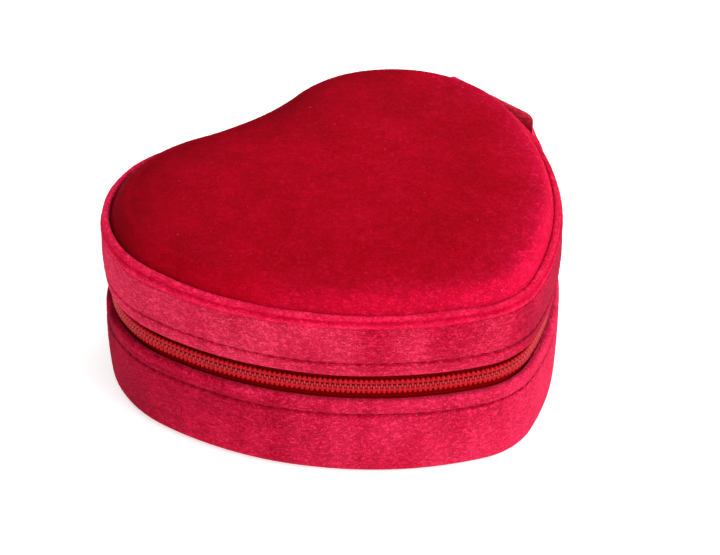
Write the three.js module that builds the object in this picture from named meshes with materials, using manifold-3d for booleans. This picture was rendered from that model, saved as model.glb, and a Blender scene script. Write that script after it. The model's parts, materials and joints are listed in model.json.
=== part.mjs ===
// Heart-shaped velvet jewellery case with a zip round its side and a cloth hinge at the back.
// Millimetres, +Z up. The underside lies on z = 0 with the origin under the middle of the heart.
// The heart's point faces +X, the dip between its lobes -X, and the hinge is at the back, on +Y.
import * as THREE from "three";
import { mergeVertices } from "three/addons/utils/BufferGeometryUtils.js";
import Module from "manifold-3d";

const wasm = await Module();
wasm.setup();

// ---- The heart in plan: six arcs that run smoothly into each other ----
const LOBE_RADIUS = 32;
const LOBE_SPREAD = 23; // from the middle line to each lobe's centre
const SIDE_RADIUS = 82;
const TIP_RADIUS = 18;
const DIP_RADIUS = 50; // the hollow arc between the lobes
const LOBE_TO_TIP = 47; // along the middle line, lobe centres to tip centre
const STEPS = { dip: 4, lobe: 12, side: 8, tip: 5 }; // straight steps to each arc

// ---- Heights ----
const RIM_TOP = 42.2;
const CROWN = 46.5; // top of the padded panel, above the rim
const ZIP_LINE = 23.5; // where the two halves of the zip meet
const BASE_EDGE = 20.4; // top of the velvet on the base
const LID_EDGE = 27; // foot of the velvet on the lid
const WELT_HEIGHT = 3.2;
const BASE_FLARE = 0.6; // the padded base stands out this far past the lid

// ---- The wall's layers, as offsets from the lid's outer face, inward negative ----
const GAP = 0.3; // air left between neighbouring pieces
const BAND_BACK = -1.3; // back of the velvet and its padding
const TAPE = { front: -2.1, back: -2.5, reach: 9.5 };
const BOARD = { front: -2.8, back: -4.3 };
const LINING = { front: -4.6, back: -5.4 };
const INSIDE = LINING.back - GAP; // what stands inside the walls starts here
const UNDER_BAND = BAND_BACK - GAP; // the top and bottom boards stop here, inside the velvet

// ---- Zip: fine nylon coil, 3.6 mm across when closed ----
const COIL = { front: -0.7, back: -1.9, width: 1.35 };
const COIL_GAP = 0.9; // between the two coils, for the slider's web
const TAPE_GAP = 1.4; // between the two tapes

// ---- Cloth hinge ----
const HINGE_X = -15.3; // middle of the strip, at the widest part of the back lobe
const HINGE_WIDTH = 34;
const HINGE_THICK = 1.2;
const HINGE_TOP = 41.8;
const HINGE_FOOT = 2.5;

// ---- Colours ----
const VELVET = 0xb30024;
const VELVET_SHADE = 0x8c0a20;
const ZIP_RED = 0xc00c14;
const CARD = 0xb9a98c;
const FOAM = 0xe8e2cf;
const METAL = 0xc8c6c0;

// ---- Plan geometry ----
const HINGE_BACK = LOBE_SPREAD + LOBE_RADIUS + BASE_FLARE + GAP; // the strip's back just clears the base
const LOBE_X = -(LOBE_TO_TIP + TIP_RADIUS - LOBE_RADIUS) / 2;
const TIP_X = LOBE_X + LOBE_TO_TIP;
const DIP_X = LOBE_X - Math.sqrt((DIP_RADIUS + LOBE_RADIUS) ** 2 - LOBE_SPREAD ** 2);

// Centre of the long arc that joins the back lobe to the tip: inside both circles, across the middle line.
function sideCentre() {
  const toLobe = SIDE_RADIUS - LOBE_RADIUS;
  const toTip = SIDE_RADIUS - TIP_RADIUS;
  const lobe = new THREE.Vector2(LOBE_X, LOBE_SPREAD);
  const tip = new THREE.Vector2(TIP_X, 0);
  const apart = lobe.distanceTo(tip);
  const along = (toLobe ** 2 - toTip ** 2 + apart ** 2) / (2 * apart);
  const across = Math.sqrt(toLobe ** 2 - along ** 2);
  const way = tip.sub(lobe).normalize();
  const square = new THREE.Vector2(way.y, -way.x);
  return lobe.addScaledVector(way, along).addScaledVector(square, across);
}
const SIDE = sideCentre();

// The outline, counterclockwise, moved outward by an offset: each arc keeps its centre.
function heart(offset) {
  const dipEnd = Math.atan2(LOBE_SPREAD, LOBE_X - DIP_X);
  const lobeEnd = Math.atan2(LOBE_SPREAD - SIDE.y, LOBE_X - SIDE.x);
  const sideEnd = Math.atan2(-SIDE.y, TIP_X - SIDE.x);
  const arcs = [
    [DIP_X, 0, DIP_RADIUS - offset, dipEnd, -dipEnd, STEPS.dip],
    [LOBE_X, -LOBE_SPREAD, LOBE_RADIUS + offset, Math.PI - dipEnd, 2 * Math.PI - lobeEnd, STEPS.lobe],
    [SIDE.x, -SIDE.y, SIDE_RADIUS + offset, -lobeEnd, -sideEnd, STEPS.side],
    [TIP_X, 0, TIP_RADIUS + offset, -sideEnd, sideEnd, STEPS.tip],
    [SIDE.x, SIDE.y, SIDE_RADIUS + offset, sideEnd, lobeEnd, STEPS.side],
    [LOBE_X, LOBE_SPREAD, LOBE_RADIUS + offset, lobeEnd, Math.PI + dipEnd, STEPS.lobe],
  ];
  return arcs.flatMap(([x, y, radius, from, to, steps]) =>
    new THREE.EllipseCurve(x, y, radius, radius, from, to, to < from).getPoints(steps).slice(0, -1),
  );
}

// ---- Solids ----
function extrude(shape, low, high, options = {}) {
  const settings = { depth: high - low, bevelEnabled: false, ...options };
  return new THREE.ExtrudeGeometry(shape, settings).translate(0, 0, low);
}

function roundEdge(height, width, segments) {
  return {
    bevelEnabled: true,
    bevelThickness: height,
    bevelSize: width,
    bevelOffset: -width,
    bevelSegments: segments,
  };
}

// A heart-shaped sheet.
function plate(offset, low, high) {
  return extrude(new THREE.Shape(heart(offset)), low, high);
}

// A heart-shaped wall between two offsets. A round edge takes its own height off each end.
function wall(outer, inner, low, high, round = 0) {
  const shape = new THREE.Shape(heart(outer));
  shape.holes.push(new THREE.Path(heart(inner)));
  if (!round) return extrude(shape, low, high);
  return extrude(shape, low + round, high - round, roundEdge(round, round, 2));
}

// A heart-shaped cushion: flat below, with its upper edge rolled over.
function cushion(offset, low, high, roll) {
  const shape = new THREE.Shape(heart(offset));
  const lens = extrude(shape, low - 0.2, low, roundEdge(high - low, roll, 5));
  return keep(lens, block(-80, 80, -80, 80, low, high + 1));
}

function block(x0, x1, y0, y1, z0, z1) {
  const box = new THREE.BoxGeometry(x1 - x0, y1 - y0, z1 - z0);
  return box.translate((x0 + x1) / 2, (y0 + y1) / 2, (z0 + z1) / 2);
}

function toManifold(geometry) {
  const bare = new THREE.BufferGeometry().setAttribute("position", geometry.getAttribute("position"));
  if (geometry.index) bare.setIndex(geometry.index);
  const merged = mergeVertices(bare, 1e-4);
  const vertProperties = merged.getAttribute("position").array;
  const triVerts = new Uint32Array(merged.index.array);
  return new wasm.Manifold(new wasm.Mesh({ numProp: 3, vertProperties, triVerts }));
}

function toGeometry(manifold) {
  const mesh = manifold.getMesh();
  const geometry = new THREE.BufferGeometry();
  geometry.setAttribute("position", new THREE.BufferAttribute(mesh.vertProperties.slice(), 3));
  geometry.setIndex(new THREE.BufferAttribute(mesh.triVerts.slice(), 1));
  const flat = geometry.toNonIndexed();
  flat.computeVertexNormals();
  return flat;
}

function cut(body, ...tools) {
  return toGeometry(tools.reduce((left, tool) => left.subtract(toManifold(tool)), toManifold(body)));
}

function keep(body, region) {
  return toGeometry(toManifold(body).intersect(toManifold(region)));
}

function join(...bodies) {
  return toGeometry(bodies.map(toManifold).reduce((sum, body) => sum.add(body)));
}

// ---- The model ----
const model = new THREE.Group();

function add(parent, name, geometry, color, roughness = 0.9, metalness = 0) {
  const mesh = new THREE.Mesh(geometry, new THREE.MeshStandardMaterial({ color, roughness, metalness }));
  mesh.name = name;
  parent.add(mesh);
  return mesh;
}

const base = new THREE.Group();
const lid = new THREE.Group();
model.add(base, lid);

// ---- Base shell ----
const COVER_TOP = 0.8; // the underside's velvet
const BOTTOM_BOARD_TOP = 2.8;
const FLOOR = 4.6; // top of the padded floor inside
add(base, "base_bottom_cover", plate(UNDER_BAND, 0, COVER_TOP), VELVET_SHADE);
add(base, "base_bottom_board", plate(UNDER_BAND, COVER_TOP + GAP, BOTTOM_BOARD_TOP), CARD);
add(base, "base_wall_board", wall(BOARD.front, BOARD.back, BOTTOM_BOARD_TOP + GAP, BASE_EDGE - GAP), CARD);
add(base, "base_velvet_band", wall(BASE_FLARE, BAND_BACK, 0.3, BASE_EDGE, 0.5), VELVET);
const baseLining = wall(LINING.front, LINING.back, BOTTOM_BOARD_TOP + GAP, ZIP_LINE - 1);
add(base, "base_lining_wall", baseLining, VELVET_SHADE);
add(base, "base_floor_pad", plate(INSIDE, BOTTOM_BOARD_TOP + GAP, FLOOR), VELVET_SHADE);

// ---- Lid shell ----
const LID_CEILING = 37; // underside of the lid's board
const LID_BOARD_TOP = 38.6;
const SKIN = 0.8; // velvet over the foam
const TOP_ROLL = 3.2; // width of the rolled edge of the padded top
const WELT_INNER = -2.3;
const TOP_EDGE = WELT_INNER - GAP;
add(lid, "lid_wall_board", wall(BOARD.front, BOARD.back, LID_EDGE + GAP, LID_CEILING - GAP), CARD);
add(lid, "lid_velvet_band", wall(0, BAND_BACK, LID_EDGE, RIM_TOP - WELT_HEIGHT - GAP, 0.5), VELVET);
add(lid, "lid_rim_welt", wall(0, WELT_INNER, RIM_TOP - WELT_HEIGHT, RIM_TOP, 0.9), VELVET);
add(lid, "lid_top_board", plate(UNDER_BAND, LID_CEILING, LID_BOARD_TOP), CARD);
const FOAM_FOOT = LID_BOARD_TOP + GAP;
const FOAM_TOP = CROWN - SKIN - GAP;
const FOAM_EDGE = TOP_EDGE - SKIN - GAP;
const foam = cushion(FOAM_EDGE, FOAM_FOOT, FOAM_TOP, TOP_ROLL);
const foamRoom = cushion(FOAM_EDGE + GAP, FOAM_FOOT - GAP / 2, FOAM_TOP + GAP, TOP_ROLL);
add(lid, "lid_top_foam", foam, FOAM);
add(lid, "lid_top_velvet", cut(cushion(TOP_EDGE, FOAM_FOOT, CROWN, TOP_ROLL), foamRoom), VELVET);
add(lid, "lid_lining_wall", wall(LINING.front, LINING.back, ZIP_LINE + 1, LID_CEILING - GAP), VELVET_SHADE);

// ---- Mirror in the lid ----
const FRAME_INNER = -12;
const FRAME_FOOT = 34.4;
const MIRROR_FOOT = 35.6;
add(lid, "mirror_frame", wall(INSIDE, FRAME_INNER, FRAME_FOOT, LID_CEILING - GAP, 0.5), VELVET);
add(lid, "heart_mirror", plate(FRAME_INNER - GAP, MIRROR_FOOT, LID_CEILING - GAP), 0xdfe6ea, 0.05, 1);

// ---- Zip: tapes, coils and end stops ----
// The zip runs all round except behind the hinge strip, between these two places in X.
const ZIP_END_TIP = HINGE_X + HINGE_WIDTH / 2 - 0.8;
const ZIP_END_DIP = HINGE_X - HINGE_WIDTH / 2 + 0.8;
const STOP_LENGTH = 1.5;
const SLIDER_LENGTH = 9;
const PARK_X = ZIP_END_TIP + STOP_LENGTH + 0.8 + SLIDER_LENGTH / 2; // middle of the parked slider
const PARK_END = PARK_X + SLIDER_LENGTH / 2 + 1.2;

// A box over the back wall between two places in X, from a low to a high z.
function backRoom(x0, x1, z0 = -1, z1 = 60) {
  return block(x0, x1, 30, 70, z0, z1);
}

// Both sides of the zip are the same, one turned over in z: side is -1 for the base and 1 for the lid.
function zipSide(parent, prefix, side) {
  const span = (near, far) => [ZIP_LINE + side * near, ZIP_LINE + side * far].sort((a, b) => a - b);
  const coilSpan = span(COIL_GAP / 2, COIL_GAP / 2 + COIL.width);
  const stopLow = ZIP_END_DIP - STOP_LENGTH - GAP;
  const stopHigh = ZIP_END_TIP + STOP_LENGTH + GAP;
  const tapeRing = wall(TAPE.front, TAPE.back, ...span(TAPE_GAP / 2, TAPE.reach));
  const coilRing = wall(COIL.front, COIL.back, ...coilSpan, 0.4);
  // The parked slider holds the base's coil. The lid's half stops short of it, so that the lid can lift away.
  const slot = side > 0 ? [backRoom(stopHigh, PARK_END, 0, LID_EDGE)] : [];
  add(parent, prefix + "_zip_tape", cut(tapeRing, backRoom(ZIP_END_DIP, ZIP_END_TIP), ...slot), ZIP_RED);
  const coilEnd = side > 0 ? PARK_END : stopHigh;
  add(parent, prefix + "_zip_coil", cut(coilRing, backRoom(stopLow, coilEnd)), ZIP_RED, 0.45);
  const stopRing = wall(COIL.front + 0.2, COIL.back, ...coilSpan);
  const dipStop = keep(stopRing, backRoom(ZIP_END_DIP - STOP_LENGTH, ZIP_END_DIP));
  const tipStop = keep(stopRing, backRoom(ZIP_END_TIP, ZIP_END_TIP + STOP_LENGTH));
  add(parent, prefix + "_zip_stop_dip_end", dipStop, METAL, 0.35, 1);
  add(parent, prefix + "_zip_stop_tip_end", tipStop, METAL, 0.35, 1);
}
zipSide(base, "base", -1);
zipSide(lid, "lid", 1);

// ---- Topstitching: one thread round each band, beside the zip ----
const STITCH_FROM_EDGE = 3.5;
const THREAD = 0.4;
function topstitch(parent, name, face, z) {
  const ring = wall(face + 0.05 + THREAD, face + 0.05, z - THREAD / 2, z + THREAD / 2);
  add(parent, name, cut(ring, backRoom(ZIP_END_DIP - 1, ZIP_END_TIP + 1)), VELVET_SHADE);
}
topstitch(base, "base_topstitch", BASE_FLARE, BASE_EDGE - STITCH_FROM_EDGE);
topstitch(lid, "lid_topstitch", 0, LID_EDGE + STITCH_FROM_EDGE);

// ---- Cloth hinge: one strip, flat across the curved wall, that folds on the zip line ----
function hingeHalf(low, high) {
  const left = HINGE_X - HINGE_WIDTH / 2;
  return block(left, left + HINGE_WIDTH, HINGE_BACK, HINGE_BACK + HINGE_THICK, low, high);
}
add(base, "hinge_strip_base_half", hingeHalf(HINGE_FOOT, ZIP_LINE - GAP), VELVET);
add(lid, "hinge_strip_lid_half", hingeHalf(ZIP_LINE + GAP, HINGE_TOP), VELVET);

// ---- Inside the base: three dividers, a bed and five ring rolls ----
const DIVIDER = 2.4;
const DIVIDER_TOP = 19;
const CROSS_X = 9; // the divider across the heart
const inner = plate(INSIDE, 0, CROWN);
const dividerFoot = FLOOR + GAP;
const cross = block(CROSS_X - DIVIDER / 2, CROSS_X + DIVIDER / 2, -60, 60, dividerFoot, DIVIDER_TOP);
add(base, "cross_divider", keep(cross, inner), VELVET_SHADE);
function middleDivider(name, x0, x1) {
  const slab = block(x0, x1, -DIVIDER / 2, DIVIDER / 2, dividerFoot, DIVIDER_TOP);
  add(base, name, keep(slab, inner), VELVET_SHADE);
}
middleDivider("lobe_divider", -60, CROSS_X - DIVIDER / 2 - GAP);
middleDivider("tip_divider", CROSS_X + DIVIDER / 2 + GAP, 60);

const ROLL_COUNT = 5;
const ROLL_RADIUS = 4.7;
const ROLL_PITCH = 9.7;
const ROLL_SIDES = 14;
const BED_TOP = 7.6;
const rollRoom = { front: DIVIDER / 2 + GAP, tip: CROSS_X - DIVIDER / 2 - GAP };
const bed = block(-60, rollRoom.tip, rollRoom.front, 60, dividerFoot, BED_TOP);
add(base, "ring_bed", keep(bed, inner), FOAM);
for (let i = 0; i < ROLL_COUNT; i++) {
  const x = rollRoom.tip - ROLL_RADIUS - GAP - i * ROLL_PITCH;
  const roll = new THREE.CylinderGeometry(ROLL_RADIUS, ROLL_RADIUS, 100, ROLL_SIDES, 1).translate(
    x,
    rollRoom.front + 50,
    BED_TOP + GAP + ROLL_RADIUS,
  );
  add(base, `ring_roll_${i + 1}`, keep(roll, inner), VELVET);
}

// ---- Slider: two wings joined by a web, with a bail for the pull ----
// It is bent to the side arc that it slides along, and is shown parked at the hinge end of the zip.
const WING = 5; // across the zip
const WING_OUT = { front: COIL.front + 1.35, back: COIL.front + 0.35 };
const WING_IN = { front: TAPE.back - 0.35, back: -3.9 };
const WEB = 0.4;
const FLANGE = 0.4;
const FLANGE_TIP = TAPE.front + GAP;
const BITE = 0.1; // how far joined pieces run into each other
const BAIL = { inside: 1.9, wire: 1.0 };
const parkAngle = Math.acos((PARK_X - SIDE.x) / SIDE_RADIUS);

// A bar that follows the side arc, between two offsets from the wall's face and two heights.
function arcBar(outer, inner, z0, z1, length = SLIDER_LENGTH) {
  const half = length / 2 / SIDE_RADIUS;
  const shape = new THREE.Shape();
  shape.absarc(SIDE.x, SIDE.y, SIDE_RADIUS + outer, parkAngle - half, parkAngle + half, false);
  shape.absarc(SIDE.x, SIDE.y, SIDE_RADIUS + inner, parkAngle + half, parkAngle - half, true);
  return extrude(shape, z0, z1, { curveSegments: 2 });
}

// Puts a geometry drawn with x along the zip, y outward from the outer wing and z up at the parking place.
function atPark(geometry) {
  const reach = SIDE_RADIUS + WING_OUT.front;
  const x = SIDE.x + reach * Math.cos(parkAngle);
  const y = SIDE.y + reach * Math.sin(parkAngle);
  return geometry.rotateZ(parkAngle - Math.PI / 2).translate(x, y, ZIP_LINE);
}

// The bail is an arch of wire that stands on the outer wing, in the plane of the zip line.
function bail() {
  const shape = new THREE.Shape();
  shape.absarc(0, 0, BAIL.inside + BAIL.wire, -0.2, Math.PI + 0.2, false);
  shape.absarc(0, 0, BAIL.inside, Math.PI + 0.2, -0.2, true);
  return extrude(shape, -BAIL.wire / 2, BAIL.wire / 2, { curveSegments: 10 });
}
const wingLow = ZIP_LINE - WING / 2;
const wingHigh = ZIP_LINE + WING / 2;
const flangeRoot = WING_OUT.back + BITE;
const sliderBody = join(
  arcBar(WING_OUT.front, WING_OUT.back, wingLow, wingHigh),
  arcBar(WING_IN.front, WING_IN.back, wingLow, wingHigh),
  arcBar(flangeRoot, WING_IN.front - BITE, ZIP_LINE - WEB / 2, ZIP_LINE + WEB / 2, SLIDER_LENGTH - 3),
  arcBar(flangeRoot, FLANGE_TIP, wingLow, wingLow + FLANGE),
  arcBar(flangeRoot, FLANGE_TIP, wingHigh - FLANGE, wingHigh),
  atPark(bail()),
);
add(model, "slider_body", sliderBody, METAL, 0.35, 1);

// ---- Pull: a ring through the bail, and a drop-shaped tag that hangs on the ring ----
const RING = { radius: 1.9, wire: 0.4 };
const TAG = { length: 14, width: 5, head: 1.5, thick: 0.9, eye: 0.8 };
const barY = BAIL.inside + BAIL.wire / 2; // the bail's crown, which the ring hangs on
const ringZ = BAIL.wire / 2 + GAP - (RING.radius - RING.wire);
const tagZ = ringZ - RING.radius - (TAG.eye - RING.wire - GAP);
const ring = new THREE.TorusGeometry(RING.radius, RING.wire, 8, 16).rotateY(Math.PI / 2);
add(model, "pull_ring", atPark(ring.translate(0, barY, ringZ)), METAL, 0.3, 1);

function tag() {
  const tail = TAG.width / 2 - TAG.length;
  const drop = new THREE.Shape();
  drop.absarc(0, 0, TAG.head, 0, Math.PI, false);
  drop.absarc(0, tail, TAG.width / 2, Math.PI, 2 * Math.PI, false);
  const eye = new THREE.Path();
  eye.absarc(0, 0, TAG.eye, 0, 2 * Math.PI, true);
  drop.holes.push(eye);
  return extrude(drop, -TAG.thick / 2, TAG.thick / 2, { curveSegments: 8 }).rotateX(Math.PI / 2);
}
add(model, "pull_tag", atPark(tag().translate(0, barY, tagZ)), METAL, 0.3, 1);

export default model;
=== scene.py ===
import json
import math

import bmesh
import bpy
import numpy as np
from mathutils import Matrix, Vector, noise


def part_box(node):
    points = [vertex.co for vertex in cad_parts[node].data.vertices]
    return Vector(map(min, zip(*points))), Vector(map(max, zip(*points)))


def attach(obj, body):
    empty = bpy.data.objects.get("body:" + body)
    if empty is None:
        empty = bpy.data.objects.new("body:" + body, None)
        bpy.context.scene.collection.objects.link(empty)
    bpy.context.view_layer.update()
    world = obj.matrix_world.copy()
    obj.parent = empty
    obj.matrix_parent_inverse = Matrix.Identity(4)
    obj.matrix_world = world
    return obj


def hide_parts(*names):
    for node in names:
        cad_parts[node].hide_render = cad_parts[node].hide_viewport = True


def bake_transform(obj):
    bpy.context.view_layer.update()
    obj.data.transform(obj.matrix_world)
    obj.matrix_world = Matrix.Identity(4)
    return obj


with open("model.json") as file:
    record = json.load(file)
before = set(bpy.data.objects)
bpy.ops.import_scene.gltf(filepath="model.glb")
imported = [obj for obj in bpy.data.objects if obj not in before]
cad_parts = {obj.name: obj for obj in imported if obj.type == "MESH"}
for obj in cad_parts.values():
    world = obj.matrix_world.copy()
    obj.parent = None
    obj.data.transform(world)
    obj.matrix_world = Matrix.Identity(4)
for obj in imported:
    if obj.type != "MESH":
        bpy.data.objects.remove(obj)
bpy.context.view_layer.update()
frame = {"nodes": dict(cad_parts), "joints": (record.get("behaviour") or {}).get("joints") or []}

MM = 0.001


def low(node):
    return np.array(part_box(node)[0])


def high(node):
    return np.array(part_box(node)[1])


# ---- The heart in plan: six arcs, as offsets from the lid's outer face ----
LOBE_RADIUS = 32 * MM
LOBE_SPREAD = 23 * MM
SIDE_RADIUS = 82 * MM
TIP_RADIUS = 18 * MM
DIP_RADIUS = 50 * MM
LOBE_TO_TIP = 47 * MM


def plan_arcs():
    """(centre, radius, first angle, last angle) of each arc, anticlockwise round the heart."""
    lobe = np.array([-(LOBE_TO_TIP + TIP_RADIUS - LOBE_RADIUS) / 2, LOBE_SPREAD])
    tip = np.array([lobe[0] + LOBE_TO_TIP, 0.0])
    dip = np.array([lobe[0] - math.sqrt((DIP_RADIUS + LOBE_RADIUS) ** 2 - LOBE_SPREAD**2), 0.0])
    to_lobe, to_tip = SIDE_RADIUS - LOBE_RADIUS, SIDE_RADIUS - TIP_RADIUS
    apart = np.linalg.norm(tip - lobe)
    way = (tip - lobe) / apart
    along = (to_lobe**2 - to_tip**2 + apart**2) / (2 * apart)
    across = math.sqrt(to_lobe**2 - along**2)
    side = lobe + way * along + np.array([way[1], -way[0]]) * across
    dip_end = math.atan2(LOBE_SPREAD, lobe[0] - dip[0])
    lobe_end = math.atan2(lobe[1] - side[1], lobe[0] - side[0])
    side_end = math.atan2(-side[1], tip[0] - side[0])
    flip = np.array([1.0, -1.0])
    return [
        (dip, DIP_RADIUS, dip_end, -dip_end),
        (lobe * flip, LOBE_RADIUS, math.pi - dip_end, 2 * math.pi - lobe_end),
        (side * flip, SIDE_RADIUS, -lobe_end, -side_end),
        (tip, TIP_RADIUS, -side_end, side_end),
        (side, SIDE_RADIUS, side_end, lobe_end),
        (lobe, LOBE_RADIUS, lobe_end, math.pi + dip_end),
    ]


ARCS = plan_arcs()
ARC_ENDS = np.cumsum([abs(b - a) * r for _, r, a, b in ARCS])
ROUND = ARC_ENDS[-1]  # the way round the heart
SIDE_CENTRE = ARCS[4][0]


def heart(s):
    """Points of the lid's outer face at distances s round the heart, and the outward normal at each."""
    s = np.mod(np.asarray(s, float), ROUND)
    points, normals = np.zeros((len(s), 2)), np.zeros((len(s), 2))
    for (centre, radius, first, last), end in zip(ARCS, ARC_ENDS):
        length = abs(last - first) * radius
        here = (s >= end - length) & (s <= end)
        angle = first + (last - first) * (s[here] - (end - length)) / length
        ray = np.stack([np.cos(angle), np.sin(angle)], axis=1)
        points[here] = centre + radius * ray
        normals[here] = ray * np.sign(last - first)
    return points, normals


def back_place(x):
    """The distance round the heart where its back wall crosses x."""
    s = np.linspace(ARC_ENDS[3], ARC_ENDS[5], 2000)
    across = heart(s)[0][:, 0]
    return float(np.interp(-x, -across, s))


def wall_y(x, offset):
    """How far out in Y a wall at that offset stands at x."""
    points, normals = heart(np.linspace(ARC_ENDS[2], ARC_ENDS[5], 3000))
    wall = points + normals * offset
    upper = wall[wall[:, 1] > 0]
    order = np.argsort(upper[:, 0])
    return np.interp(x, upper[order, 0], upper[order, 1])


# ---- Meshes ----
def make_mesh(name, verts, faces, uvs=None, smooth=True):
    mesh = bpy.data.meshes.new(name)
    mesh.from_pydata([tuple(v) for v in verts], [], faces)
    if uvs is not None:
        layer = mesh.uv_layers.new(name="cloth")
        layer.data.foreach_set("uv", np.asarray(uvs, np.float32).ravel())
    mesh.polygons.foreach_set("use_smooth", [smooth] * len(mesh.polygons))
    bm = bmesh.new()
    bm.from_mesh(mesh)
    bmesh.ops.recalc_face_normals(bm, faces=bm.faces)
    bm.to_mesh(mesh)
    bm.free()
    piece = bpy.data.objects.new(name, mesh)
    bpy.context.scene.collection.objects.link(piece)
    return piece


def grid_faces(rows, cols, wrap_rows, wrap_cols):
    faces = []
    for i in range(rows if wrap_rows else rows - 1):
        for j in range(cols if wrap_cols else cols - 1):
            below, along = (i + 1) % rows, (j + 1) % cols
            faces.append((i * cols + j, i * cols + along, below * cols + along, below * cols + j))
    return faces


def grid_uvs(grid, wrap_rows, wrap_cols):
    """One corner list that matches grid_faces, measured in metres along the columns and rows."""
    rows, cols = grid.shape[:2]
    step = np.linalg.norm(np.diff(grid[:, :1], axis=0, append=grid[:1, :1]), axis=2)[:, 0]
    v = np.concatenate([[0], np.cumsum(step)])
    middle = grid[rows // 2]
    u = np.concatenate([[0], np.cumsum(np.linalg.norm(np.roll(middle, -1, axis=0) - middle, axis=1))])
    uvs = []
    for i in range(rows if wrap_rows else rows - 1):
        for j in range(cols if wrap_cols else cols - 1):
            uvs += [(u[j], v[i]), (u[j + 1], v[i]), (u[j + 1], v[i + 1]), (u[j], v[i + 1])]
    return uvs


def grid_piece(name, grid, wrap_rows=True, wrap_cols=True, caps=False):
    """A piece from a grid of points. caps closes the two ends of a grid that doesn't wrap one way."""
    rows, cols = grid.shape[:2]
    faces = grid_faces(rows, cols, wrap_rows, wrap_cols)
    uvs = grid_uvs(grid, wrap_rows, wrap_cols)
    if caps:
        if wrap_cols:
            ends = [list(range(cols)), [(rows - 1) * cols + j for j in range(cols)]]
        else:
            ends = [[i * cols for i in range(rows)], [i * cols + cols - 1 for i in range(rows)]]
        for end in ends:
            faces.append(tuple(end))
            uvs += [(0.0, 0.0)] * len(end)
    return make_mesh(name, grid.reshape(-1, 3), faces, uvs)


def grid_normals(grid, wrap_rows):
    """The normals of a grid whose columns close on themselves, and perhaps its rows too."""
    across = np.roll(grid, -1, 1) - np.roll(grid, 1, 1)
    down = np.roll(grid, -1, 0) - np.roll(grid, 1, 0) if wrap_rows else np.gradient(grid, axis=0)
    n = np.cross(across, down)
    return n / np.maximum(np.linalg.norm(n, axis=2, keepdims=True), 1e-12)


def lumps(grid, size, seed):
    """Smooth noise from -1 to 1 at each point of a grid, with bumps about size across."""
    shift = Vector((seed * 7.3, seed * 3.1, seed * 5.7))
    flat = grid.reshape(-1, 3) / size
    return np.array([noise.noise(Vector(p) + shift) for p in flat]).reshape(grid.shape[:2])


def ring_grid(profile, s):
    """The grid that a profile of (offset, z) makes when it runs round the heart along s."""
    points, normals = heart(s)
    offsets, heights = np.array(profile).T
    grid = np.zeros((len(profile), len(s), 3))
    grid[..., :2] = points[None] + normals[None] * offsets[:, None, None]
    grid[..., 2] = heights[:, None]
    return grid


def all_round(step):
    return np.arange(0, ROUND, ROUND / round(ROUND / step))


def respace(points, step):
    """The same polyline with points about step apart."""
    points = np.array(points, float)
    along = np.concatenate([[0], np.cumsum(np.linalg.norm(np.diff(points, axis=0), axis=1))])
    at = np.linspace(0, along[-1], max(2, round(along[-1] / step) + 1))
    return np.stack([np.interp(at, along, points[:, k]) for k in range(points.shape[1])], axis=1)


def corner(centre, radius, first, last, steps=8):
    """Points of an arc, with its angles in degrees."""
    angles = np.radians(np.linspace(first, last, steps))
    return [(centre[0] + radius * math.cos(a), centre[1] + radius * math.sin(a)) for a in angles]


def store_nap_and_painted_light(piece, nap_and_painted_light):
    """Stores a value at each point that sets painted light and shade on the velvet, over some random tone:
    below 0 it is painted dark, above 0 it is painted pale.
    """
    layer = piece.data.attributes.new("nap_and_painted_light", "FLOAT", "POINT")
    layer.data.foreach_set("value", np.asarray(nap_and_painted_light, np.float32).ravel())
    return piece


def facing(normals, azimuth):
    """The cosine of the angle between each outward normal and a direction in plan."""
    angle = math.radians(azimuth)
    return normals @ np.array([math.cos(angle), math.sin(angle)])


def place(piece, body, slot, material, *replaced):
    piece.data.materials.clear()
    piece.data.materials.append(material)
    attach(piece, body)
    if replaced:
        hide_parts(*replaced)
    return piece


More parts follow.
